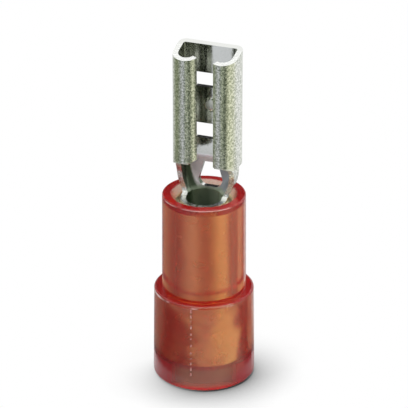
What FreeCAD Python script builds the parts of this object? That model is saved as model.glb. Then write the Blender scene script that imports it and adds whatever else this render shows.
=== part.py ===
"""Female spade terminal with an insulated crimp barrel, in millimetres.

Z runs up from the foot of the insulating sleeve, along the axis of the crimp
barrel, towards the mouth that takes the blade. The open side of the socket,
with the gap between its two rolled flanges, faces -Y.
"""
import FreeCAD, Part
import math
import os

import Sketcher

os.makedirs("parts", exist_ok=True)
doc = FreeCAD.newDocument("spade_terminal")
sheet = doc.addObject("Spreadsheet::Sheet", "sizes")

# Driving sizes. Heights are measured from the foot of the sleeve.
SIZES = [
    # sheet metal contact
    ("sheet", 0.30, "thickness of the rolled sheet"),
    ("socket_width", 3.72, "over the two folds of the socket"),
    ("socket_depth", 1.95, "from the back of the floor to the front of the flanges"),
    ("socket_length", 6.84, "from the lower ends of the flanges to the mouth edge of the floor"),
    ("floor_back", 1.40, "back of the floor behind the barrel axis"),
    ("fold_radius", 0.42, "outer radius where the floor turns into a flange"),
    ("curl_radius", 0.80, "outer radius of the rolled flange"),
    ("left_curl", 150.0, "degrees the left flange is rolled round"),
    ("right_curl", 118.0, "degrees the right flange is rolled round"),
    ("tip_corner", 0.36, "height of the slanted lower corner of each flange tip"),
    ("foot_rise", 0.17, "how much higher the flanges end at their front than at their sides"),
    ("mouth_drop", 0.50, "how much lower the mouth is at the front of the flanges"),
    ("window_width", 1.90, "width of the two floor windows"),
    ("window_corner", 0.12, "corner radius of the floor windows"),
    ("upper_window_place", 0.62, "lower edge of the upper window, as a share of the socket length"),
    ("upper_window_height", 0.86, "height of the upper window"),
    ("lower_window_place", 0.17, "lower edge of the lower window, as a share of the socket length"),
    ("lower_window_height", 0.91, "height of the lower window"),
    ("dimple_place", 0.471, "middle of the locking dimple, as a share of the socket length"),
    ("dimple_radius", 0.43, "radius of the dimple at the floor"),
    ("dimple_rise", 0.14, "how far the dimple stands out of the floor"),
    ("neck_rise", 1.65, "lower ends of the flanges above the sleeve rim"),
    ("neck_top_width", 3.28, "width of the neck where it leaves the socket"),
    ("bend_rise", 0.45, "height above the sleeve rim where the neck begins to close in"),
    ("bend_width", 3.18, "width over the neck at that height"),
    ("bend_back", 1.38, "back of the neck behind the axis at that height"),
    ("bend_corner", 0.75, "outer corner radius of the neck at that height"),
    ("wing_place", 0.24, "front edge of the wings behind the axis"),
    ("wing_reach", 0.80, "height over which the wings sweep forward below the flanges"),
    ("sight_margin", 0.25, "strip of floor between sight window and flange foot"),
    ("sight_sill", 0.24, "foot of the sight window above the barrel rim"),
    ("sight_top_width", 0.80, "width of the sight window at its top"),
    ("sight_foot_width", 1.40, "width of the sight window at its bottom"),
    ("sight_corner", 0.45, "corner radius at the foot of the sight window"),
    ("barrel_radius", 1.31, "outer radius of the crimp barrel"),
    ("barrel_lift", 0.15, "wire end of the barrel above the inner shoulder of the sleeve"),
    ("rim_drop", 0.30, "front rim of the barrel below the sleeve rim"),
    ("round_rise", 0.10, "end of the round part of the barrel above its front rim"),
    ("seam_gap", 0.04, "gap along the closed seam of the barrel"),
    ("seam_round", 0.17, "rounding of the seam corners at the rim"),
    ("groove_depth", 0.06, "depth of the gripping grooves in the barrel"),
    ("groove_width", 0.25, "width of one gripping groove"),
    ("groove_pitch", 1.00, "distance between gripping grooves"),
    # moulded insulating sleeve
    ("sleeve_height", 11.00, "over the whole sleeve"),
    ("step_height", 5.30, "height of the step between grip and funnel"),
    ("rim_wall", 0.53, "edge of the sleeve at its rim, from mouth to outside"),
    ("mouth_flare", 0.20, "how much wider the mouth is than the bore below it"),
    ("mouth_depth", 0.60, "depth of the cone inside the rim"),
    ("grip_wall", 0.76, "wall of the sleeve just above the step"),
    ("funnel_top_wall", 0.58, "wall of the funnel just below the step"),
    ("funnel_foot_wall", 0.51, "wall of the funnel at its foot"),
    ("shoulder_height", 5.20, "top of the inner shoulder under the barrel"),
    ("shoulder_depth", 0.25, "height of the inner shoulder"),
    ("rim_round", 0.09, "rounding of the rim"),
    ("foot_round", 0.22, "rounding of the outer foot edge"),
    ("foot_chamfer", 0.12, "chamfer of the wire entry"),
    ("step_round", 0.12, "rounding of the outer edge of the step"),
    ("barrel_fit", 0.02, "play between barrel and support tube"),
    ("liner_fit", 0.02, "play between support tube and sleeve"),
    # support tube
    ("liner_wall", 0.25, "wall of the support tube"),
    ("liner_top_drop", 0.08, "upper edge of the tube below the front rim of the barrel"),
    ("liner_radius", 2.20, "outer radius of its wide part"),
    ("liner_flare", 0.13, "how far its foot is flared out"),
    ("liner_foot", 1.40, "height of its lower edge"),
    ("liner_bend", 2.55, "height where the flare begins"),
    ("liner_drop", 0.02, "shoulder of the tube below the shoulder of the sleeve"),
]
for row, (alias, value, note) in enumerate(SIZES, start=1):
    sheet.set("A%d" % row, alias)
    sheet.set("B%d" % row, str(value))
    sheet.set("C%d" % row, note)
    sheet.setAlias("B%d" % row, alias)
doc.recompute()

# Heights that follow from the sizes above.
RIM = "(sizes.sleeve_height - sizes.rim_drop)"
ROUND_END = "(sizes.sleeve_height - sizes.rim_drop + sizes.round_rise)"
BARREL_FOOT = "(sizes.shoulder_height + sizes.barrel_lift)"
FLANGE_FOOT = "(sizes.sleeve_height + sizes.neck_rise)"
FLOOR_TOP = "(sizes.sleeve_height + sizes.neck_rise + sizes.socket_length)"
NECK_BEND = "(sizes.sleeve_height + sizes.bend_rise)"


def new_body(label):
    body = doc.addObject("PartDesign::Body", label)
    body.Label = label
    return body


def new_sketch(body, name, role, lift=None):
    """A sketch on an origin plane of its body, lifted along the plane normal."""
    sketch = body.newObject("Sketcher::SketchObject", name)
    plane = [item for item in body.Origin.OriginFeatures if item.Role == role][0]
    sketch.AttachmentSupport = [(plane, "")]
    sketch.MapMode = "FlatFace"
    if lift is not None:
        sketch.setExpression("AttachmentOffset.Base.z", lift)
    return sketch


def draw_chain(sketch, chain):
    """A closed chain of lines and arcs held by expressions.

    Each item is (x, y) for a line to the next corner, or (x, y, radius, turn)
    for an arc that turns left (1) or right (-1).
    """
    corners = [FreeCAD.Vector(float(sketch.evalExpression(item[0])),
                              float(sketch.evalExpression(item[1])), 0) for item in chain]
    up = FreeCAD.Vector(0, 0, 1)
    ends = []
    for i, item in enumerate(chain):
        a = corners[i]
        b = corners[(i + 1) % len(chain)]
        if len(item) == 2:
            g = sketch.addGeometry(Part.LineSegment(a, b), False)
            ends.append((g, 1, 2))
            continue
        radius = float(sketch.evalExpression(item[2]))
        turn = item[3]
        half = (b - a) * 0.5
        rise = math.sqrt(max(radius * radius - half.Length * half.Length, 0.0))
        side = up.cross(half)
        side.normalize()
        centre = a + half + side * (rise * turn)
        first, last = (a, b) if turn > 0 else (b, a)
        start = math.atan2(first.y - centre.y, first.x - centre.x)
        stop = math.atan2(last.y - centre.y, last.x - centre.x)
        if stop < start:
            stop += 2 * math.pi
        arc = Part.ArcOfCircle(Part.Circle(centre, up, radius), start, stop)
        g = sketch.addGeometry(arc, False)
        ends.append((g, 1, 2) if turn > 0 else (g, 2, 1))
        c = sketch.addConstraint(Sketcher.Constraint("Radius", g, radius))
        sketch.setExpression("Constraints[%d]" % c, item[2])
    for i, item in enumerate(chain):
        g, begin, finish = ends[i]
        after, after_begin, _ = ends[(i + 1) % len(chain)]
        sketch.addConstraint(Sketcher.Constraint("Coincident", g, finish, after, after_begin))
        for kind, value, text in (("DistanceX", corners[i].x, item[0]),
                                  ("DistanceY", corners[i].y, item[1])):
            c = sketch.addConstraint(Sketcher.Constraint(kind, -1, 1, g, begin, value))
            sketch.setExpression("Constraints[%d]" % c, text)
    return sketch


def draw_circle(sketch, radius):
    value = float(sketch.evalExpression(radius))
    g = sketch.addGeometry(Part.Circle(FreeCAD.Vector(0, 0, 0), FreeCAD.Vector(0, 0, 1), value), False)
    sketch.addConstraint(Sketcher.Constraint("Coincident", g, 3, -1, 1))
    c = sketch.addConstraint(Sketcher.Constraint("Radius", g, value))
    sketch.setExpression("Constraints[%d]" % c, radius)


def extrude(body, kind, name, sketch, length, reverse=False, middle=False):
    feature = body.newObject("PartDesign::" + kind, name)
    feature.Profile = sketch
    feature.setExpression("Length", length)
    feature.Reversed = reverse
    feature.Midplane = middle
    doc.recompute()
    return feature


def turn_round(body, kind, name, sketch):
    feature = body.newObject("PartDesign::" + kind, name)
    feature.Profile = sketch
    feature.ReferenceAxis = (sketch, ["V_Axis"])
    feature.Angle = 360
    doc.recompute()
    return feature


# Contact: one piece of tinned brass sheet, stamped and rolled.
contact = new_body("contact")

barrel_ring = new_sketch(contact, "barrel_ring", "XY_Plane", BARREL_FOOT)
draw_circle(barrel_ring, "sizes.barrel_radius")
draw_circle(barrel_ring, "sizes.barrel_radius - sizes.sheet")
extrude(contact, "Pad", "barrel", barrel_ring, ROUND_END + " - " + BARREL_FOOT)


# Neck: the flat floor and its two side walls run down into the round barrel.
def boxy_section(name, height, half_width, back, front, back_radius, front_radius):
    """A rectangle with rounded corners, starting at its front right."""
    section = new_sketch(contact, name, "XY_Plane", height)
    w, b, f, rb, rf = half_width, back, front, back_radius, front_radius
    return draw_chain(section, [
        ("%s - (%s)" % (w, rf), "-(%s)" % f, rf, 1),
        (w, "%s - (%s)" % (rf, f)),
        (w, "%s - (%s)" % (b, rb), rb, 1),
        ("%s - (%s)" % (w, rb), b),
        ("-(%s) + %s" % (w, rb), b, rb, 1),
        ("-(%s)" % w, "%s - (%s)" % (b, rb)),
        ("-(%s)" % w, "%s - (%s)" % (rf, f), rf, 1),
        ("-(%s) + %s" % (w, rf), "-(%s)" % f),
    ])


def round_section(name, height, radius):
    """The round barrel, cut into the same eight pieces as the boxy sections."""
    section = new_sketch(contact, name, "XY_Plane", height)
    angles = [-65, -15, 15, 60, 120, 165, 195, 245]
    chain = []
    for angle in angles:
        chain.append(("%s * cos(%d)" % (radius, angle), "%s * sin(%d)" % (radius, angle), radius, 1))
    return draw_chain(section, chain)


front = "(sizes.socket_depth - sizes.floor_back)"
neck_outside = [
    boxy_section("neck_top", FLANGE_FOOT, "sizes.neck_top_width / 2", "sizes.floor_back",
                 front, "sizes.fold_radius", "sizes.curl_radius"),
    boxy_section("neck_bend", NECK_BEND, "sizes.bend_width / 2", "sizes.bend_back",
                 "sizes.barrel_radius", "sizes.bend_corner", "sizes.bend_corner"),
    round_section("neck_round", ROUND_END, "sizes.barrel_radius"),
]
neck_inside = [
    boxy_section("hollow_top", FLANGE_FOOT, "(sizes.neck_top_width / 2 - sizes.sheet)",
                 "(sizes.floor_back - sizes.sheet)", "(%s - sizes.sheet)" % front,
                 "(sizes.fold_radius - sizes.sheet)", "(sizes.curl_radius - sizes.sheet)"),
    boxy_section("hollow_bend", NECK_BEND, "(sizes.bend_width / 2 - sizes.sheet)",
                 "(sizes.bend_back - sizes.sheet)", "(sizes.barrel_radius - sizes.sheet)",
                 "(sizes.bend_corner - sizes.sheet)", "(sizes.bend_corner - sizes.sheet)"),
    round_section("hollow_round", ROUND_END, "(sizes.barrel_radius - sizes.sheet)"),
]
neck = contact.newObject("PartDesign::AdditiveLoft", "neck")
neck.Profile = neck_outside[0]
neck.Sections = neck_outside[1:]
doc.recompute()
hollow = contact.newObject("PartDesign::SubtractiveLoft", "neck_hollow")
hollow.Profile = neck_inside[0]
hollow.Sections = neck_inside[1:]
doc.recompute()

# Wings: the side walls of the neck are cut away in a sweep that ends at the rim.
wing_cut = new_sketch(contact, "wing_cut", "YZ_Plane")
draw_chain(wing_cut, [
    ("-2 * sizes.barrel_radius", RIM),
    ("sizes.wing_place - 0.36", RIM, "0.42", 1),
    ("sizes.wing_place", RIM + " + 0.45"),
    ("sizes.wing_place", FLANGE_FOOT + " - sizes.wing_reach", "1.2 * sizes.wing_reach", 1),
    ("sizes.wing_place - 0.4", FLANGE_FOOT),
    ("-2 * sizes.barrel_radius", FLANGE_FOOT),
])
extrude(contact, "Pocket", "wings", wing_cut, "2 * sizes.socket_width", middle=True)

# Socket: flat floor with a flange rolled over the blade on each side.
half = "sizes.socket_width / 2"
curl_y = "(sizes.floor_back - sizes.socket_depth + sizes.curl_radius)"
curl_x = "(sizes.socket_width / 2 - sizes.curl_radius)"
inner = "(sizes.curl_radius - sizes.sheet)"
inner_fold = "(sizes.fold_radius - sizes.sheet)"
fold_y = "(sizes.floor_back - sizes.fold_radius)"
socket_section = new_sketch(contact, "socket_section", "XY_Plane", FLANGE_FOOT)
draw_chain(socket_section, [
    ("%s + sizes.curl_radius * cos(sizes.right_curl)" % curl_x,
     "%s - sizes.curl_radius * sin(sizes.right_curl)" % curl_y, "sizes.curl_radius", 1),
    (half, curl_y),
    (half, fold_y, "sizes.fold_radius", 1),
    (half + " - sizes.fold_radius", "sizes.floor_back"),
    ("sizes.fold_radius - " + half, "sizes.floor_back", "sizes.fold_radius", 1),
    ("-" + half, fold_y),
    ("-" + half, curl_y, "sizes.curl_radius", 1),
    ("-%s - sizes.curl_radius * cos(sizes.left_curl)" % curl_x,
     "%s - sizes.curl_radius * sin(sizes.left_curl)" % curl_y),
    ("-%s - %s * cos(sizes.left_curl)" % (curl_x, inner),
     "%s - %s * sin(sizes.left_curl)" % (curl_y, inner), inner, -1),
    ("sizes.sheet - " + half, curl_y),
    ("sizes.sheet - " + half, fold_y, inner_fold, -1),
    ("sizes.fold_radius - " + half, "sizes.floor_back - sizes.sheet"),
    (half + " - sizes.fold_radius", "sizes.floor_back - sizes.sheet", inner_fold, -1),
    (half + " - sizes.sheet", fold_y),
    (half + " - sizes.sheet", curl_y, inner, -1),
    ("%s + %s * cos(sizes.right_curl)" % (curl_x, inner),
     "%s - %s * sin(sizes.right_curl)" % (curl_y, inner)),
])
extrude(contact, "Pad", "socket", socket_section, "sizes.socket_length")

# The flanges end a little higher at their front than at their sides.
flange_feet = new_sketch(contact, "flange_feet_cut", "YZ_Plane")
draw_chain(flange_feet, [
    ("sizes.wing_place - 0.4", FLANGE_FOOT),
    ("-" + front, FLANGE_FOOT + " + sizes.foot_rise"),
    ("-2 * sizes.socket_depth", FLANGE_FOOT + " + sizes.foot_rise"),
    ("-2 * sizes.socket_depth", FLANGE_FOOT),
])
extrude(contact, "Pocket", "flange_feet", flange_feet, "2 * sizes.socket_width", middle=True)

# The lower corner of each flange tip is cut off on a slant.
tips = new_sketch(contact, "tip_cut", "XZ_Plane", "sizes.socket_depth - sizes.floor_back + 0.2")
draw_chain(tips, [
    ("-%s" % curl_x, FLANGE_FOOT),
    (curl_x, FLANGE_FOOT),
    ("sizes.curl_radius / 2", FLANGE_FOOT + " + sizes.tip_corner"),
    ("-sizes.curl_radius / 4", FLANGE_FOOT + " + 1.3 * sizes.tip_corner"),
])
extrude(contact, "Pocket", "tip_corners", tips, "sizes.socket_depth / 2 + 0.2")

# Mouth: cut on a slant, lower at the front of the flanges.
mouth_cut = new_sketch(contact, "mouth_cut", "YZ_Plane")
draw_chain(mouth_cut, [
    ("sizes.floor_back - 2 * sizes.socket_depth", FLOOR_TOP + " - 2 * sizes.mouth_drop"),
    ("sizes.floor_back", FLOOR_TOP),
    ("sizes.floor_back - 2 * sizes.socket_depth", FLOOR_TOP + " + 1"),
])
extrude(contact, "Pocket", "mouth", mouth_cut, "2 * sizes.socket_width", middle=True)


# Windows through the floor of the socket.
def window(name, place, height):
    foot = "%s + %s * sizes.socket_length" % (FLANGE_FOOT, place)
    top = "%s + %s" % (foot, height)
    sketch = new_sketch(contact, name + "_edge", "XZ_Plane", "-sizes.floor_back - 0.1")
    w = "sizes.window_width / 2"
    r = "sizes.window_corner"
    draw_chain(sketch, [
        ("%s - %s" % (w, r), foot, r, 1),
        (w, "%s + %s" % (foot, r)),
        (w, "%s - %s" % (top, r), r, 1),
        ("%s - %s" % (w, r), top),
        ("%s - %s" % (r, w), top, r, 1),
        ("-" + w, "%s - %s" % (top, r)),
        ("-" + w, "%s + %s" % (foot, r), r, 1),
        ("%s - %s" % (r, w), foot),
    ])
    extrude(contact, "Pocket", name, sketch, "sizes.sheet + 0.2", reverse=True)


window("upper_window", "sizes.upper_window_place", "sizes.upper_window_height")
window("lower_window", "sizes.lower_window_place", "sizes.lower_window_height")

# Sight window in the neck, wider at its foot, to see the wire after crimping.
sight = new_sketch(contact, "sight_edge", "XZ_Plane", "-sizes.bend_back - 0.3")
sight_top = "(%s - sizes.sight_margin)" % FLANGE_FOOT
sight_foot = "(%s + sizes.sight_sill)" % RIM
sight_half = "sizes.sight_foot_width / 2"
draw_chain(sight, [
    ("-sizes.sight_top_width / 2", sight_top),
    ("-" + sight_half, "%s + sizes.sight_corner" % sight_foot, "sizes.sight_corner", 1),
    ("sizes.sight_corner - " + sight_half, sight_foot),
    (sight_half + " - sizes.sight_corner", sight_foot, "sizes.sight_corner", 1),
    (sight_half, "%s + sizes.sight_corner" % sight_foot),
    ("sizes.sight_top_width / 2", sight_top),
])
extrude(contact, "Pocket", "sight_window", sight, "sizes.barrel_radius", reverse=True)

# Seam: the two edges of the barrel meet at the front, with rounded corners at the rim.
seam = new_sketch(contact, "seam_edge", "XZ_Plane", "sizes.barrel_radius + 0.1")
left = "(-sizes.seam_gap / 2)"
right = "(sizes.seam_gap / 2)"
top = "(%s + 0.05)" % RIM
draw_chain(seam, [
    (left, BARREL_FOOT + " - 0.1"),
    (right, BARREL_FOOT + " - 0.1"),
    (right, top + " - sizes.seam_round", "sizes.seam_round", -1),
    (right + " + sizes.seam_round", top),
    (right + " + sizes.seam_round", top + " + 0.3"),
    (left + " - sizes.seam_round", top + " + 0.3"),
    (left + " - sizes.seam_round", top, "sizes.seam_round", -1),
    (left, top + " - sizes.seam_round"),
])
extrude(contact, "Pocket", "seam", seam, "sizes.barrel_radius")

# Dimple pressed out of the floor towards the blade, hollow at the back.
dimple_height = FLANGE_FOOT + " + sizes.dimple_place * sizes.socket_length"
dimple = new_sketch(contact, "dimple_edge", "XY_Plane", dimple_height)
bulge = "((sizes.dimple_radius ^ 2 + sizes.dimple_rise ^ 2) / (2 * sizes.dimple_rise))"
face = "(sizes.floor_back - sizes.sheet)"
draw_chain(dimple, [
    ("0", face + " - sizes.dimple_rise", bulge, 1),
    ("sizes.dimple_radius", face),
    ("sizes.dimple_radius", face + " + 0.02"),
    ("0", face + " + 0.02"),
])
turn_round(contact, "Revolution", "dimple", dimple)
dent = new_sketch(contact, "dent_edge", "XY_Plane", dimple_height)
back = "sizes.floor_back"
draw_chain(dent, [
    ("0", back + " - sizes.dimple_rise", bulge, 1),
    ("sizes.dimple_radius", back),
    ("sizes.dimple_radius", back + " + 0.02"),
    ("0", back + " + 0.02"),
])
turn_round(contact, "Groove", "dent", dent)

# Gripping grooves rolled into the inside of the barrel.
for number, place in enumerate(("-1", "0", "1"), start=1):
    groove = new_sketch(contact, "groove_edge%d" % number, "XZ_Plane")
    middle = "((%s + %s) / 2 + %s * sizes.groove_pitch)" % (BARREL_FOOT, ROUND_END, place)
    draw_chain(groove, [
        ("sizes.barrel_radius - sizes.sheet - 0.05", middle + " - sizes.groove_width / 2"),
        ("sizes.barrel_radius - sizes.sheet + sizes.groove_depth", middle + " - sizes.groove_width / 2"),
        ("sizes.barrel_radius - sizes.sheet + sizes.groove_depth", middle + " + sizes.groove_width / 2"),
        ("sizes.barrel_radius - sizes.sheet - 0.05", middle + " + sizes.groove_width / 2"),
    ])
    turn_round(contact, "Groove", "groove%d" % number, groove)

# Insulating sleeve: one turned profile, moulded from translucent nylon.
sleeve = new_body("insulating_sleeve")
profile = new_sketch(sleeve, "sleeve_profile", "XZ_Plane")
tube_in = "(sizes.barrel_radius + sizes.barrel_fit)"
tube_out = "(%s + sizes.liner_wall)" % tube_in
bore = "(%s + sizes.liner_fit)" % tube_out
mouth = "(%s + sizes.mouth_flare)" % bore
rim_out = "(%s + sizes.rim_wall)" % mouth
grip_out = "(%s + sizes.grip_wall)" % bore
pocket_top = "(sizes.liner_radius + sizes.liner_fit)"
pocket_foot = "(%s + sizes.liner_flare)" % pocket_top
funnel_top = "(%s + sizes.funnel_top_wall)" % pocket_top
funnel_foot = "(%s + sizes.funnel_foot_wall)" % pocket_foot
draw_chain(profile, [
    (pocket_foot + " + sizes.foot_chamfer", "0"),
    (funnel_foot + " - sizes.foot_round", "0", "sizes.foot_round", 1),
    (funnel_foot, "sizes.foot_round"),
    (funnel_top, "sizes.step_height - sizes.step_round", "sizes.step_round", 1),
    (funnel_top + " - sizes.step_round", "sizes.step_height"),
    (grip_out, "sizes.step_height"),
    (rim_out, "sizes.sleeve_height - sizes.rim_round", "sizes.rim_round", 1),
    (rim_out + " - sizes.rim_round", "sizes.sleeve_height"),
    (mouth + " + sizes.rim_round", "sizes.sleeve_height", "sizes.rim_round", 1),
    (mouth, "sizes.sleeve_height - sizes.rim_round"),
    (bore, "sizes.sleeve_height - sizes.mouth_depth"),
    (bore, "sizes.shoulder_height"),
    (pocket_top, "sizes.shoulder_height - sizes.shoulder_depth"),
    (pocket_top, "sizes.liner_bend"),
    (pocket_foot, "sizes.liner_foot"),
    (pocket_foot, "sizes.foot_chamfer"),
])
turn_round(sleeve, "Revolution", "sleeve_turned", profile)

# Support tube: stepped brass tube, narrow round the barrel and wide in the funnel.
liner = new_body("support_sleeve")
tube = new_sketch(liner, "tube_profile", "XZ_Plane")
tube_top = "(%s - sizes.liner_top_drop)" % RIM
step_top = "(sizes.shoulder_height - sizes.liner_drop)"
step_foot = "(sizes.shoulder_height - sizes.shoulder_depth - sizes.liner_drop)"
draw_chain(tube, [
    (tube_in, tube_top),
    (tube_in, step_top + " - sizes.liner_wall / 2"),
    ("sizes.liner_radius - sizes.liner_wall", step_foot + " - sizes.liner_wall / 2"),
    ("sizes.liner_radius - sizes.liner_wall", "sizes.liner_bend"),
    ("sizes.liner_radius + sizes.liner_flare - sizes.liner_wall", "sizes.liner_foot"),
    ("sizes.liner_radius + sizes.liner_flare", "sizes.liner_foot"),
    ("sizes.liner_radius", "sizes.liner_bend"),
    ("sizes.liner_radius", step_foot),
    (tube_out, step_top),
    (tube_out, tube_top),
])
turn_round(liner, "Revolution", "tube_turned", tube)

doc.recompute()
bodies = [contact, sleeve, liner]
for item in doc.Objects:
    if "Invalid" in item.State or "Error" in item.State:
        raise RuntimeError("%s is %s" % (item.Name, item.State))
for body in bodies:
    shape = body.Shape
    if shape.isNull() or not shape.isValid() or len(shape.Solids) != 1:
        raise RuntimeError("%s has no valid single solid" % body.Label)
    box = shape.BoundBox
    print("%-18s %8.3f mm3  X %.3f %.3f  Y %.3f %.3f  Z %.3f %.3f" % (
        body.Label, shape.Volume, box.XMin, box.XMax, box.YMin, box.YMax, box.ZMin, box.ZMax))
    shape.exportStep("parts/%s.step" % body.Label)
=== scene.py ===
import bpy
import math
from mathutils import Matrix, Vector


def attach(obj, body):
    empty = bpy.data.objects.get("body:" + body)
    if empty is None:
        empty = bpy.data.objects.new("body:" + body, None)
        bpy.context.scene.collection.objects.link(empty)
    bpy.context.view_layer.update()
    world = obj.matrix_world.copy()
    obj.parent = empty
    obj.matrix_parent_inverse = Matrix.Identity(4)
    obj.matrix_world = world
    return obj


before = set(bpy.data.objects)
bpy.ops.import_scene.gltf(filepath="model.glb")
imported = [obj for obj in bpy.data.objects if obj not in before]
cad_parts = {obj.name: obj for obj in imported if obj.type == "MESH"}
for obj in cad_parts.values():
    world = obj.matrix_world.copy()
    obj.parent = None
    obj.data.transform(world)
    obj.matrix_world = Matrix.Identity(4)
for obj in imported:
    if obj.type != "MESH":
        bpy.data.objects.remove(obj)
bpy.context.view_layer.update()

MM = 0.001

# The camera looks down on the terminal from its right front, from far enough
# away that the sleeve's sides stay almost parallel, as in the photograph.
VIEW_AZIMUTH = math.radians(20.0)
VIEW_ELEVATION = math.radians(25.5)
VIEW_DISTANCE = 170 * MM
VIEW_RAISE = 0.46 * MM
FRAME_WIDTH = 22.67 * MM
SENSOR_WIDTH = 36.0
AIM = Vector((0.0, 0.0, 9.8 * MM))


def direction(azimuth, elevation):
    """The way from the terminal towards an azimuth, counted from its front, and an elevation."""
    return Vector((math.sin(azimuth) * math.cos(elevation),
                   -math.cos(azimuth) * math.cos(elevation),
                   math.sin(elevation)))


toward_eye = direction(VIEW_AZIMUTH, VIEW_ELEVATION)
bpy.ops.object.camera_add()
camera = bpy.context.object
camera.name = "camera"
camera.rotation_euler = toward_eye.to_track_quat("Z", "Y").to_euler()
screen_up = camera.rotation_euler.to_matrix() @ Vector((0.0, 1.0, 0.0))
camera.location = AIM + toward_eye * VIEW_DISTANCE + screen_up * VIEW_RAISE
camera.data.sensor_width = SENSOR_WIDTH
camera.data.lens = SENSOR_WIDTH * VIEW_DISTANCE / FRAME_WIDTH
camera.data.clip_start = 5 * MM
camera.data.clip_end = 20.0
bpy.context.scene.camera = camera
bpy.context.scene.view_settings.view_transform = "Standard"

# The contact is stamped from thin tinned brass sheet and rolled up: a socket
# with two rolled flanges, a narrow neck and a round crimp barrel. The tin is
# half bright with a fine grain, and smoother on the socket's floor and back.
TIN_DARK_GRAIN = (0.37, 0.40, 0.33)
TIN_BRIGHT_GRAIN = (0.84, 0.85, 0.80)
TIN_SMOOTH = (0.60, 0.62, 0.56)
# The white is a painted highlight on the dimple's crown.
TIN_DIMPLE_HIGHLIGHT = (1.0, 1.0, 1.0)
# These two are painted light on the neck's back wall: lavender-white at its left, blue-grey at its
# right.
TIN_NECK_BACK_LIGHT = (1.0, 0.94, 1.0)
TIN_NECK_RIGHT_LIGHT = (0.58, 0.61, 0.68)
# Painted shade on the neck's left inner wall.
TIN_NECK_LEFT_SHADE = (0.10, 0.13, 0.09)
# Painted shade on the bore's left wall and painted light on its right wall.
TIN_BORE_LEFT_SHADE = (0.30, 0.36, 0.27)
TIN_BORE_RIGHT_LIGHT = (0.84, 0.92, 0.76)
# Pale sheared tin of the cut edges; it is also painted light, laid on the wing's front edges and on
# every face turned up.
TIN_SHEARED_AND_TOP_LIGHT = (0.84, 0.85, 0.82)
TIN_GRAIN_SCALE = 9000.0
TIN_GRAIN_DETAIL = 4.0
TIN_GRAIN_ROUGHNESS = 0.65
TIN_GRAIN_DEPTH = 0.02 * MM
TIN_COLOUR_SPAN = (0.40, 0.60)
TIN_GLOSS_SPAN = (0.35, 0.70)
TIN_GLOSS = (0.07, 0.19)
TIN_MATTE = 0.6
SOCKET_FLOOR_RELIEF = (1.0, 0.12)

# In these pairs a part of the contact begins at the first value and is fully
# reached at the second. Values without a unit are parts of the surface normal.
# Most of these parts carry painted light and shade, set at fixed places to match the photograph.
NECK_TOP = (12.9 * MM, 12.6 * MM)
WING_TOP = (12.9 * MM, 12.8 * MM)
BARREL_TOP = (11.3 * MM, 10.8 * MM)
BORE_RADIUS = (1.20 * MM, 1.10 * MM)
LEFT_PLACE = (0.2 * MM, -0.2 * MM)
RIGHT_PLACE = (0.1 * MM, 0.5 * MM)
BACK_PLACE = (0.3 * MM, 0.6 * MM)
WING_PLACE = (0.3 * MM, 0.0)
SOCKET_FLOOR_COLOUR_PLACE = (0.80 * MM, 1.10 * MM)
SOCKET_FLOOR_GRAIN_PLACE = (0.80 * MM, 1.00 * MM)
DIMPLE_CROWN = (0.0, 0.96 * MM, 15.87 * MM)
DIMPLE_REACH = (0.36 * MM, 0.26 * MM)
FACING_FRONT = (-0.2, -0.5)
FACING_RIGHT = (0.25, 0.5)
FACING_LEFT = (0.1, -0.7)
FACING_UP = (0.75, 0.9)


def new_material(name):
    """A node material with its Principled shader, and the tree of its nodes."""
    material = bpy.data.materials.new(name)
    material.use_nodes = True
    return material, material.node_tree


def feed(tree, socket, value):
    """Link an output to a socket, or set the socket to a plain value or colour."""
    if isinstance(value, bpy.types.NodeSocket):
        tree.links.new(value, socket)
    elif socket.type == "RGBA":
        socket.default_value = (*value, 1.0)
    else:
        socket.default_value = value


def spots(tree):
    """The Object place and the Normal of each spot of the surface."""
    return tree.nodes.new("ShaderNodeTexCoord").outputs


def split(tree, vector):
    """The X, Y and Z of a place or a normal."""
    node = tree.nodes.new("ShaderNodeSeparateXYZ")
    tree.links.new(vector, node.inputs["Vector"])
    return node.outputs


def measure(tree, operation, vector, other=(0.0, 0.0, 0.0)):
    """A length, a distance to another point, or a dot product with it."""
    node = tree.nodes.new("ShaderNodeVectorMath")
    node.operation = operation
    feed(tree, node.inputs[0], vector)
    feed(tree, node.inputs[1], other)
    return node.outputs["Value"]


def off_axis(tree, axes):
    """How far each spot lies from the upright axis of the terminal."""
    flat = tree.nodes.new("ShaderNodeCombineXYZ")
    feed(tree, flat.inputs["X"], axes["X"])
    feed(tree, flat.inputs["Y"], axes["Y"])
    return measure(tree, "LENGTH", flat.outputs["Vector"])


def reckon(tree, operation, *values):
    """The result of one Math node."""
    node = tree.nodes.new("ShaderNodeMath")
    node.operation = operation
    for socket, value in zip(node.inputs, values):
        feed(tree, socket, value)
    return node.outputs["Value"]


def both(tree, first, *others):
    """The share that all of these parts have in common."""
    for other in others:
        first = reckon(tree, "MULTIPLY", first, other)
    return first


def either(tree, first, *others):
    """The largest of these shares."""
    for other in others:
        first = reckon(tree, "MAXIMUM", first, other)
    return first


def slide(tree, value, span, result=(0.0, 1.0), curve="LINEAR"):
    """A value's way through a span, from the first result to the second."""
    node = tree.nodes.new("ShaderNodeMapRange")
    node.interpolation_type = curve
    feed(tree, node.inputs["Value"], value)
    for name, limit in zip(("From Min", "From Max", "To Min", "To Max"), (*span, *result)):
        node.inputs[name].default_value = limit
    return node.outputs["Result"]


def blend(tree, share, first, second):
    """The first colour going over into the second by a share."""
    node = tree.nodes.new("ShaderNodeMix")
    node.data_type = "RGBA"
    feed(tree, node.inputs[0], share)
    feed(tree, node.inputs[6], first)
    feed(tree, node.inputs[7], second)
    return node.outputs[2]


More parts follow.
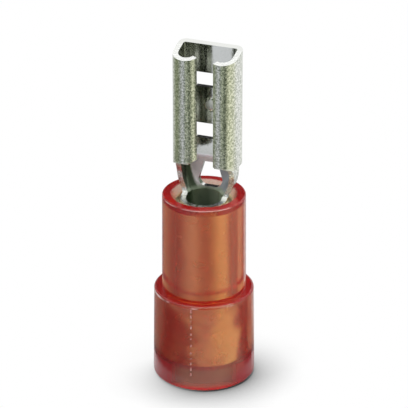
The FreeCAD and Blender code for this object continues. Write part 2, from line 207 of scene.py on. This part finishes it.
def shades(tree, value, stops):
    """A ramp through pairs of a position and a colour."""
    node = tree.nodes.new("ShaderNodeValToRGB")
    ramp = node.color_ramp
    ramp.elements.remove(ramp.elements[1])
    ramp.elements[0].position = stops[0][0]
    ramp.elements[0].color = (*stops[0][1], 1.0)
    for position, colour in stops[1:]:
        ramp.elements.new(position).color = (*colour, 1.0)
    feed(tree, node.inputs["Fac"], value)
    return node.outputs["Color"]


def mottling(tree, spot, scale, detail=2.0, roughness=0.5):
    """Soft noise over the places of the spots."""
    node = tree.nodes.new("ShaderNodeTexNoise")
    node.inputs["Scale"].default_value = scale
    node.inputs["Detail"].default_value = detail
    node.inputs["Roughness"].default_value = roughness
    tree.links.new(spot["Object"], node.inputs["Vector"])
    return node.outputs["Fac"]


def relief(tree, height, depth, strength):
    """Normals of a fine relief of this depth."""
    node = tree.nodes.new("ShaderNodeBump")
    feed(tree, node.inputs["Height"], height)
    node.inputs["Distance"].default_value = depth
    feed(tree, node.inputs["Strength"], strength)
    return node.outputs["Normal"]


def tin_finish():
    """Grained tin, with painted light and shade on the neck and in the bore, a painted highlight on
    the dimple, pale sheared edges, and painted top light on faces turned up.
    """
    material, tree = new_material("tinned_sheet")
    shader = tree.nodes["Principled BSDF"]
    shader.inputs["Metallic"].default_value = 1.0
    spot = spots(tree)
    axes = split(tree, spot["Object"])
    facing = split(tree, spot["Normal"])
    grain = mottling(tree, spot, TIN_GRAIN_SCALE, TIN_GRAIN_DETAIL, TIN_GRAIN_ROUGHNESS)
    front = slide(tree, facing["Y"], FACING_FRONT)
    neck = slide(tree, axes["Z"], NECK_TOP)
    neck_left_shade = both(tree, slide(tree, facing["X"], FACING_RIGHT),
                     slide(tree, axes["X"], LEFT_PLACE), neck)
    neck_back = both(tree, neck, front, slide(tree, axes["Y"], BACK_PLACE))
    wing_edge = both(tree, slide(tree, axes["Z"], WING_TOP), front,
                     slide(tree, axes["Y"], WING_PLACE))
    bore = both(tree, slide(tree, off_axis(tree, axes), BORE_RADIUS),
                slide(tree, axes["Z"], BARREL_TOP))
    from_dimple = measure(tree, "DISTANCE", spot["Object"], DIMPLE_CROWN)
    dimple_highlight = both(tree, slide(tree, from_dimple, DIMPLE_REACH), front)
    sheared_and_top_light = either(tree, slide(tree, facing["Z"], FACING_UP), wing_edge)

    tint = shades(tree, grain, [(TIN_COLOUR_SPAN[0], TIN_DARK_GRAIN),
                                (TIN_COLOUR_SPAN[1], TIN_BRIGHT_GRAIN)])
    tint = blend(tree, slide(tree, axes["Y"], SOCKET_FLOOR_COLOUR_PLACE), tint, TIN_SMOOTH)
    # Over the grain come a painted highlight on the dimple, painted light on the neck's back wall,
    # painted shade on its left wall, painted light and shade in the bore, and pale sheared tin that
    # is also painted on faces turned up as light from above.
    tint = blend(tree, dimple_highlight, tint, TIN_DIMPLE_HIGHLIGHT)
    neck_back_light = blend(tree, slide(tree, axes["X"], RIGHT_PLACE), TIN_NECK_BACK_LIGHT, TIN_NECK_RIGHT_LIGHT)
    tint = blend(tree, neck_back, tint, neck_back_light)
    tint = blend(tree, neck_left_shade, tint, TIN_NECK_LEFT_SHADE)
    bore_light_and_shade = blend(tree, slide(tree, facing["X"], FACING_LEFT), TIN_BORE_LEFT_SHADE, TIN_BORE_RIGHT_LIGHT)
    tint = blend(tree, bore, tint, bore_light_and_shade)
    tint = blend(tree, sheared_and_top_light, tint, TIN_SHEARED_AND_TOP_LIGHT)
    feed(tree, shader.inputs["Base Color"], tint)

    gloss = slide(tree, grain, TIN_GLOSS_SPAN, TIN_GLOSS)
    matte = both(tree, either(tree, neck_back, dimple_highlight, wing_edge), TIN_MATTE)
    feed(tree, shader.inputs["Roughness"], either(tree, gloss, matte))
    strength = slide(tree, axes["Y"], SOCKET_FLOOR_GRAIN_PLACE, SOCKET_FLOOR_RELIEF)
    feed(tree, shader.inputs["Normal"], relief(tree, grain, TIN_GRAIN_DEPTH, strength))
    return material


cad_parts["contact"].material_slots[0].material = tin_finish()

# The insulating sleeve is one moulding of clear red nylon, stepped outside and
# bored inside, with a small cone at its mouth. It is pushed over the barrel.
# The nylon is a little milky, most so in its foot and on faces turned up, and
# has a thin glossy skin.
CLEAR_NYLON = (1.0, 0.98, 0.97)
CLEAR_ROUGHNESS = 0.16
NYLON_IOR = 1.5
NYLON_DYE = (1.0, 0.77, 0.44)
DYE_DENSITY = 1000.0
SKIN_SHARE = 0.15
SKIN_ROUGHNESS = 0.06
MILKY_RED = (0.90, 0.008, 0.020)
MILKY_ROUGHNESS = 0.3
FOOT_BROWN = (0.70, 0.20, 0.12)
# The darkest red is painted shade on the foot band's flanks.
FLANK_SHADE_RED = (0.45, 0.004, 0.012)
# The pale pink is a painted highlight along two edges.
EDGE_HIGHLIGHT_PINK = (1.0, 0.80, 0.78)
EDGE_ROUGHNESS = 0.25
RIPPLE_SCALE = 700.0
RIPPLE_DEPTH = 0.02 * MM
RIPPLE_STRENGTH = 0.1
TURNED_UP = (0.45, 0.85)
TURNED_UP_MILK = (0.21, 0.36)

# The milk, written as a grey, and the tint of the foot band are given at shares of its height. The
# flanks are the sides that lie left and right in the view; they carry painted shade, a deeper red
# with more milk.
FOOT_BAND = (0.0, 1.6 * MM)
FOOT_MILK = [(0.1, (0.65, 0.65, 0.65)), (0.3, (0.36, 0.36, 0.36)),
             (0.8, (0.32, 0.32, 0.32)), (0.95, (0.21, 0.21, 0.21))]
FOOT_TINT = [(0.12, MILKY_RED), (0.22, FOOT_BROWN), (0.80, FOOT_BROWN), (0.90, MILKY_RED)]
FLANK_WAY = (0.94, 0.34, 0.0)
FLANK_SPAN = (0.35, 0.68)
FLANK_TOP = (0.94, 0.86)
FLANK_MILK = 0.7

# A thin painted highlight runs as a pale line along the outer edges of the rim and of the step, at
# the front. It stands for the light that their tiny moulded rounding catches. It is broken here and
# there.
RIM_HEIGHT = (10.91 * MM, 10.95 * MM)
RIM_RADIUS = (2.26 * MM, 2.30 * MM)
STEP_HEIGHT = (5.11 * MM, 5.15 * MM)
STEP_RADIUS = (2.72 * MM, 2.76 * MM)
EDGE_UPRIGHT = (0.6, 0.4)
EDGE_FACING = (-0.2, -0.6)
EDGE_BREAKS = (0.42, 0.58)


def mix_shaders(tree, share, first, second):
    """One surface going over into another by a share."""
    node = tree.nodes.new("ShaderNodeMixShader")
    feed(tree, node.inputs["Fac"], share)
    tree.links.new(first, node.inputs[1])
    tree.links.new(second, node.inputs[2])
    return node.outputs["Shader"]


def nylon_finish():
    """Dyed clear nylon mixed with milky nylon, with painted shade on the flanks of its foot band
    and painted highlight lines along two edges.
    """
    material, tree = new_material("red_nylon")
    output = tree.nodes["Material Output"]
    clear = tree.nodes["Principled BSDF"]
    feed(tree, clear.inputs["Base Color"], CLEAR_NYLON)
    clear.inputs["Roughness"].default_value = CLEAR_ROUGHNESS
    clear.inputs["IOR"].default_value = NYLON_IOR
    clear.inputs["Transmission Weight"].default_value = 1.0
    milky = tree.nodes.new("ShaderNodeBsdfPrincipled")
    milky.inputs["Roughness"].default_value = MILKY_ROUGHNESS
    spot = spots(tree)
    axes = split(tree, spot["Object"])
    facing = split(tree, spot["Normal"])
    ripple = mottling(tree, spot, RIPPLE_SCALE)
    ripple_normal = relief(tree, ripple, RIPPLE_DEPTH, RIPPLE_STRENGTH)
    for nylon in (clear, milky):
        nylon.inputs["Coat Weight"].default_value = SKIN_SHARE
        nylon.inputs["Coat Roughness"].default_value = SKIN_ROUGHNESS
        feed(tree, nylon.inputs["Normal"], ripple_normal)
    dye = tree.nodes.new("ShaderNodeVolumeAbsorption")
    feed(tree, dye.inputs["Color"], NYLON_DYE)
    dye.inputs["Density"].default_value = DYE_DENSITY
    tree.links.new(dye.outputs["Volume"], output.inputs["Volume"])

    rise = slide(tree, axes["Z"], FOOT_BAND)
    sideways = reckon(tree, "ABSOLUTE",
                      measure(tree, "DOT_PRODUCT", spot["Normal"], FLANK_WAY))
    flank_shade = slide(tree, sideways, FLANK_SPAN)
    flank_milk = slide(tree, rise, FLANK_TOP, (0.0, FLANK_MILK))
    in_band = reckon(tree, "GREATER_THAN", flank_milk, 0.0)
    # The foot band's flanks get painted shade: a deeper red and more milk.
    tint = blend(tree, both(tree, flank_shade, in_band), shades(tree, rise, FOOT_TINT), FLANK_SHADE_RED)
    feed(tree, milky.inputs["Base Color"], tint)
    milk = either(tree, slide(tree, facing["Z"], TURNED_UP, TURNED_UP_MILK),
                  shades(tree, rise, FOOT_MILK), both(tree, flank_shade, flank_milk))
    body = mix_shaders(tree, milk, clear.outputs["BSDF"], milky.outputs["BSDF"])

    radius = off_axis(tree, axes)
    rim = both(tree, slide(tree, axes["Z"], RIM_HEIGHT), slide(tree, radius, RIM_RADIUS))
    step = both(tree, slide(tree, axes["Z"], STEP_HEIGHT), slide(tree, radius, STEP_RADIUS))
    # The pale line along the rim and the step is a painted highlight.
    line = both(tree, either(tree, rim, step), slide(tree, facing["Z"], EDGE_UPRIGHT),
                slide(tree, facing["Y"], EDGE_FACING), slide(tree, ripple, EDGE_BREAKS))
    edge = tree.nodes.new("ShaderNodeBsdfPrincipled")
    feed(tree, edge.inputs["Base Color"], EDGE_HIGHLIGHT_PINK)
    edge.inputs["Roughness"].default_value = EDGE_ROUGHNESS
    tree.links.new(mix_shaders(tree, line, body, edge.outputs["BSDF"]), output.inputs["Surface"])
    return material


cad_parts["insulating_sleeve"].material_slots[0].material = nylon_finish()

# Where the halves of the mould met, the wide foot of the sleeve carries a line
# of tiny broken beads of flash on its front and on its back. They stand up
# from the nylon by a few hundredths of a millimetre and catch the light.
FOOT_RADIUS = 2.86
STEP_EDGE_RADIUS = 2.80
STEP_EDGE_HEIGHT = 5.2
PARTING_AZIMUTH = math.radians(5.0)
BEADS = [(4.98, 0.20), (4.66, 0.16), (4.36, 0.09), (4.02, 0.26), (3.56, 0.12), (3.27, 0.08),
         (2.86, 0.14), (2.38, 0.10), (2.04, 0.07), (1.72, 0.16), (1.38, 0.20), (1.04, 0.16)]
BEAD_SIZE = 0.05
BEAD_STRETCH = (1.5, 1.2)
BEAD_ROUNDING = 0.018 * MM
FLASH_SCALE = 9000.0
FLASH_TINTS = [(0.35, (0.42, 0.14, 0.12)), (0.6, (0.80, 0.50, 0.48))]
FLASH_ROUGHNESS = 0.3


def flash_finish():
    """Pale, scattering nylon of the thin flash."""
    material, tree = new_material("nylon_flash")
    shader = tree.nodes["Principled BSDF"]
    shader.inputs["Roughness"].default_value = FLASH_ROUGHNESS
    flecks = mottling(tree, spots(tree), FLASH_SCALE)
    feed(tree, shader.inputs["Base Color"], shades(tree, flecks, FLASH_TINTS))
    return material


def flash_bead(height, length):
    """One bead at its height on the front parting line."""
    radius = FOOT_RADIUS + (STEP_EDGE_RADIUS - FOOT_RADIUS) * height / STEP_EDGE_HEIGHT
    spot = Vector((radius * math.sin(PARTING_AZIMUTH), -radius * math.cos(PARTING_AZIMUTH), height))
    bpy.ops.object.select_all(action="DESELECT")
    bpy.ops.mesh.primitive_cube_add(size=BEAD_SIZE * MM, location=spot * MM)
    bead = bpy.context.object
    bpy.ops.object.mode_set(mode="EDIT")
    bpy.ops.mesh.select_all(action="SELECT")
    bpy.ops.transform.resize(value=(*BEAD_STRETCH, length / BEAD_SIZE))
    bpy.ops.mesh.bevel(offset=BEAD_ROUNDING, segments=2, affect="EDGES")
    bpy.ops.object.mode_set(mode="OBJECT")
    bead.rotation_euler = (0.0, 0.0, PARTING_AZIMUTH)
    bpy.ops.object.transform_apply(location=True, rotation=True, scale=True)
    return bead


beads = [flash_bead(height, length) for height, length in BEADS]
for bead in list(beads):
    twin = bead.copy()
    twin.data = bead.data.copy()
    bpy.context.collection.objects.link(twin)
    twin.rotation_euler = (0.0, 0.0, math.pi)
    beads.append(twin)
bpy.ops.object.select_all(action="DESELECT")
for bead in beads:
    bead.select_set(True)
bpy.context.view_layer.objects.active = beads[0]
bpy.ops.object.transform_apply(location=True, rotation=True, scale=True)
bpy.ops.object.join()
parting_line = bpy.context.object
parting_line.name = "parting_line"
parting_line.data.materials.append(flash_finish())
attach(parting_line, "root")

# The support tube is drawn from thin bare brass and stands inside the sleeve.
# Its wide foot grips the wire's insulation when the sleeve is crimped, and its
# thin wall is slightly dented there, while the part round the barrel is even.
BRASS = (0.98, 0.84, 0.50)
BRASS_CLOUD_SCALE = 1500.0
BRASS_GLOSS = (0.15, 0.35)
DENT_SCALE = 420.0
DENT_DETAIL = 1.0
DENT_DEPTH = 1.2 * MM
DENTED_HEIGHT = (5.4 * MM, 4.8 * MM)
DENT_STRENGTH = (0.2, 1.0)


def brass_finish():
    """Drawn brass with soft clouds in its gloss and broad dents in its foot."""
    material, tree = new_material("drawn_brass")
    shader = tree.nodes["Principled BSDF"]
    shader.inputs["Metallic"].default_value = 1.0
    feed(tree, shader.inputs["Base Color"], BRASS)
    spot = spots(tree)
    cloud = mottling(tree, spot, BRASS_CLOUD_SCALE)
    feed(tree, shader.inputs["Roughness"], slide(tree, cloud, (0.0, 1.0), BRASS_GLOSS))
    dents = mottling(tree, spot, DENT_SCALE, DENT_DETAIL)
    height = split(tree, spot["Object"])["Z"]
    strength = slide(tree, height, DENTED_HEIGHT, DENT_STRENGTH)
    feed(tree, shader.inputs["Normal"], relief(tree, dents, DENT_DEPTH, strength))
    return material


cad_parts["support_sleeve"].material_slots[0].material = brass_finish()

# The stage is a plain white floor. Close to the terminal it carries a painted shadow, which leans
# to the right front, and further out it goes over into even white. Seen through the nylon, the
# floor is painted darker close to the foot.
FLOOR_SIZE = 3.0
FLOOR_HEIGHT = -0.004 * MM
FLOOR_WHITE = (0.9, 0.9, 0.9)
FLOOR_ROUGHNESS = 0.9
SHADOW_REACH = 4.0 * MM
SHADOW_SAMPLES = 16
SHADOW_OPENNESS = (0.45, 0.92)
SHADOW_TONES = (0.05, 1.0)
SHADOW_WAY = (0.75, -0.66, 0.0)
SHADOW_SIDE = (-2.5 * MM, 2.5 * MM)
SHADOW_SHARES = (0.10, 1.0)
UNDER_SLEEVE = (2.9 * MM, 2.7 * MM)
BESIDE_SLEEVE = (2.9 * MM, 5.5 * MM)
BESIDE_DARKENING = (0.8, 0.0)
EVEN_WHITE = (5.0 * MM, 14.0 * MM)


def shows_white(tree, rays):
    """1 for rays that show the background: straight, mirrored or through the nylon."""
    return either(tree, rays["Is Camera Ray"], rays["Is Glossy Ray"], rays["Is Transmission Ray"])


def white_floor():
    """White where it is seen, with a painted shadow of the terminal, and plain paint for other
    light.
    """
    material, tree = new_material("white_floor")
    paint = tree.nodes["Principled BSDF"]
    feed(tree, paint.inputs["Base Color"], FLOOR_WHITE)
    paint.inputs["Roughness"].default_value = FLOOR_ROUGHNESS
    paint.inputs["Specular IOR Level"].default_value = 0.0
    place = spots(tree)["Object"]
    rays = tree.nodes.new("ShaderNodeLightPath").outputs
    distance = measure(tree, "LENGTH", place)
    openness = tree.nodes.new("ShaderNodeAmbientOcclusion")
    openness.samples = SHADOW_SAMPLES
    openness.inputs["Distance"].default_value = SHADOW_REACH
    # The painted shadow: the floor's glow is dimmed where it is shut in near the terminal, more to
    # its right front.
    shadow = slide(tree, openness.outputs["AO"], SHADOW_OPENNESS, SHADOW_TONES)
    lean = measure(tree, "DOT_PRODUCT", place, SHADOW_WAY)
    share = either(tree, slide(tree, lean, SHADOW_SIDE, SHADOW_SHARES),
                   slide(tree, distance, UNDER_SLEEVE))
    leant = reckon(tree, "MULTIPLY_ADD", shadow, share, reckon(tree, "SUBTRACT", 1.0, share))
    beside = both(tree, rays["Is Transmission Ray"],
                  slide(tree, distance, BESIDE_SLEEVE, BESIDE_DARKENING),
                  reckon(tree, "GREATER_THAN", distance, BESIDE_SLEEVE[0]))
    shadowed_glow = tree.nodes.new("ShaderNodeEmission")
    feed(tree, shadowed_glow.inputs["Strength"], both(tree, leant, reckon(tree, "SUBTRACT", 1.0, beside)))
    glow = tree.nodes.new("ShaderNodeEmission")
    glow.inputs["Strength"].default_value = 1.0
    ground = mix_shaders(tree, slide(tree, distance, EVEN_WHITE, curve="SMOOTHSTEP"),
                         shadowed_glow.outputs["Emission"], glow.outputs["Emission"])
    surface = mix_shaders(tree, shows_white(tree, rays), paint.outputs["BSDF"], ground)
    tree.links.new(surface, tree.nodes["Material Output"].inputs["Surface"])
    return material


bpy.ops.mesh.primitive_plane_add(size=FLOOR_SIZE, location=(0.0, 0.0, FLOOR_HEIGHT))
floor = bpy.context.object
floor.name = "floor"
floor.data.materials.append(white_floor())

# Three rings of backlit paper form a cone round the terminal, out of the picture.
# Their tones run from dark to pale round the axis and give the metal and the
# nylon most of their bands. Only reflections and refractions show them. The cone
# is 4 mm from the axis at the floor and flares by 1.084 mm for each mm of height.
RING_SIDES = 180
RING_RADIUS = 4.0
RING_FLARE = 1.084


def tone_ring(name, foot, top, tones):
    """One ring between two heights in mm; tones pair an azimuth of 0 to 360 with a colour."""
    bpy.ops.mesh.primitive_cone_add(vertices=RING_SIDES,
                                    radius1=(RING_RADIUS + RING_FLARE * foot) * MM,
                                    radius2=(RING_RADIUS + RING_FLARE * top) * MM,
                                    depth=(top - foot) * MM, end_fill_type="NOTHING",
                                    location=(0.0, 0.0, (foot + top) / 2 * MM))
    ring = bpy.context.object
    ring.name = name
    bpy.ops.object.transform_apply(location=True, rotation=False, scale=False)
    material, tree = new_material("toned_paper")
    axes = split(tree, spots(tree)["Object"])
    turn = reckon(tree, "ARCTAN2", axes["X"], reckon(tree, "MULTIPLY", axes["Y"], -1.0))
    share = reckon(tree, "FRACT", reckon(tree, "MULTIPLY_ADD", turn, 0.5 / math.pi, 1.0))
    glow = tree.nodes.new("ShaderNodeEmission")
    feed(tree, glow.inputs["Color"],
         shades(tree, share, [(azimuth / 360.0, colour) for azimuth, colour in tones]))
    tree.links.new(glow.outputs["Emission"], tree.nodes["Material Output"].inputs["Surface"])
    ring.data.materials.append(material)
    ring.visible_camera = False
    ring.visible_shadow = False
    ring.visible_diffuse = False


tone_ring("funnel_foot", 0.1, 2.75, [
    (0.0, (0.33, 0.33, 0.33)), (9.0, (0.45, 0.45, 0.45)), (25.0, (0.55, 0.55, 0.55)),
    (42.0, (0.76, 0.74, 0.60)), (58.0, (0.90, 0.92, 0.66)), (84.0, (0.98, 1.0, 0.72)),
    (88.0, (0.80, 0.80, 0.60)), (94.0, (0.32, 0.30, 0.26)), (103.0, (0.12, 0.10, 0.10)),
    (120.0, (0.08, 0.07, 0.07)), (140.0, (0.25, 0.25, 0.25)),
    (155.0, (0.80, 0.80, 0.80)), (215.0, (0.80, 0.80, 0.80)), (240.0, (0.40, 0.40, 0.40)),
    (272.0, (0.16, 0.14, 0.14)), (294.0, (0.04, 0.04, 0.04)),
    (325.0, (0.10, 0.10, 0.10)), (353.0, (0.30, 0.30, 0.30)),
])
tone_ring("funnel_waist", 2.75, 7.0, [
    (0.0, (0.48, 0.48, 0.48)), (12.0, (0.37, 0.37, 0.37)), (28.0, (0.30, 0.30, 0.30)),
    (43.0, (0.42, 0.44, 0.38)), (57.0, (0.64, 0.68, 0.52)), (73.0, (1.0, 1.0, 0.78)),
    (95.0, (0.95, 1.0, 0.72)), (106.0, (0.50, 0.48, 0.36)), (116.0, (0.20, 0.17, 0.15)),
    (132.0, (0.16, 0.14, 0.14)), (150.0, (0.70, 0.70, 0.70)), (205.0, (0.70, 0.70, 0.70)),
    (235.0, (0.30, 0.30, 0.30)),
    (264.0, (0.16, 0.14, 0.14)),
    (292.0, (0.17, 0.17, 0.17)), (310.0, (0.31, 0.31, 0.31)), (327.0, (0.54, 0.54, 0.54)),
    (342.0, (0.63, 0.63, 0.63)),
])
tone_ring("funnel_top", 7.0, 56.1, [
    (0.0, (0.08, 0.11, 0.07)), (5.0, (0.08, 0.11, 0.07)),
    (7.0, (0.96, 1.0, 0.80)), (16.0, (0.96, 1.0, 0.80)),
    (19.0, (0.01, 0.03, 0.01)), (40.0, (0.01, 0.03, 0.01)),
    (46.0, (0.60, 0.62, 0.46)), (62.0, (0.89, 0.90, 0.68)),
    (105.0, (0.89, 0.89, 0.75)), (130.0, (1.0, 1.0, 1.0)),
    (180.0, (1.0, 1.0, 1.0)), (186.0, (0.03, 0.03, 0.03)), (214.0, (0.03, 0.03, 0.03)),
    (220.0, (0.72, 0.73, 0.70)),
    (255.0, (0.72, 0.73, 0.70)), (262.0, (0.31, 0.34, 0.23)),
    (305.0, (0.31, 0.34, 0.23)), (316.0, (0.42, 0.44, 0.42)),
    (330.0, (0.42, 0.44, 0.42)), (335.0, (0.90, 0.90, 1.0)),
    (345.0, (0.90, 0.90, 1.0)), (350.0, (0.07, 0.10, 0.06)),
])

# Two soft boxes light the terminal, one at its right and above, one overhead.
# A box's power goes with its level and its size, so that boxes of one level
# are equally bright.


def soft_box(name, azimuth, elevation, distance, width, height, level):
    """One soft box that looks at the terminal; angles in degrees, lengths in mm."""
    out = direction(math.radians(azimuth), math.radians(elevation))
    bpy.ops.object.light_add(type="AREA", location=AIM + out * distance * MM)
    lamp = bpy.context.object
    lamp.name = name
    lamp.rotation_euler = out.to_track_quat("Z", "Y").to_euler()
    lamp.data.shape = "RECTANGLE"
    lamp.data.size = width * MM
    lamp.data.size_y = height * MM
    lamp.data.energy = level * math.pi * width * height * MM * MM


soft_box("key_box", azimuth=85.0, elevation=40.0, distance=110.0,
         width=50.0, height=50.0, level=3.0)
soft_box("top_box", azimuth=0.0, elevation=88.0, distance=140.0,
         width=140.0, height=140.0, level=1.0)

# The world is plain grey light. Seen directly, mirrored or through the nylon
# it is the same even white as the floor.
WORLD_WHITE = (1.0, 1.0, 1.0)
WORLD_LEVELS = (0.5, 1.0)
world = bpy.context.scene.world or bpy.data.worlds.new("studio")
bpy.context.scene.world = world
world.use_nodes = True
sky = world.node_tree
background = sky.nodes["Background"]
sky_white = shows_white(sky, sky.nodes.new("ShaderNodeLightPath").outputs)
feed(sky, background.inputs["Color"], WORLD_WHITE)
feed(sky, background.inputs["Strength"], slide(sky, sky_white, (0.0, 1.0), WORLD_LEVELS))
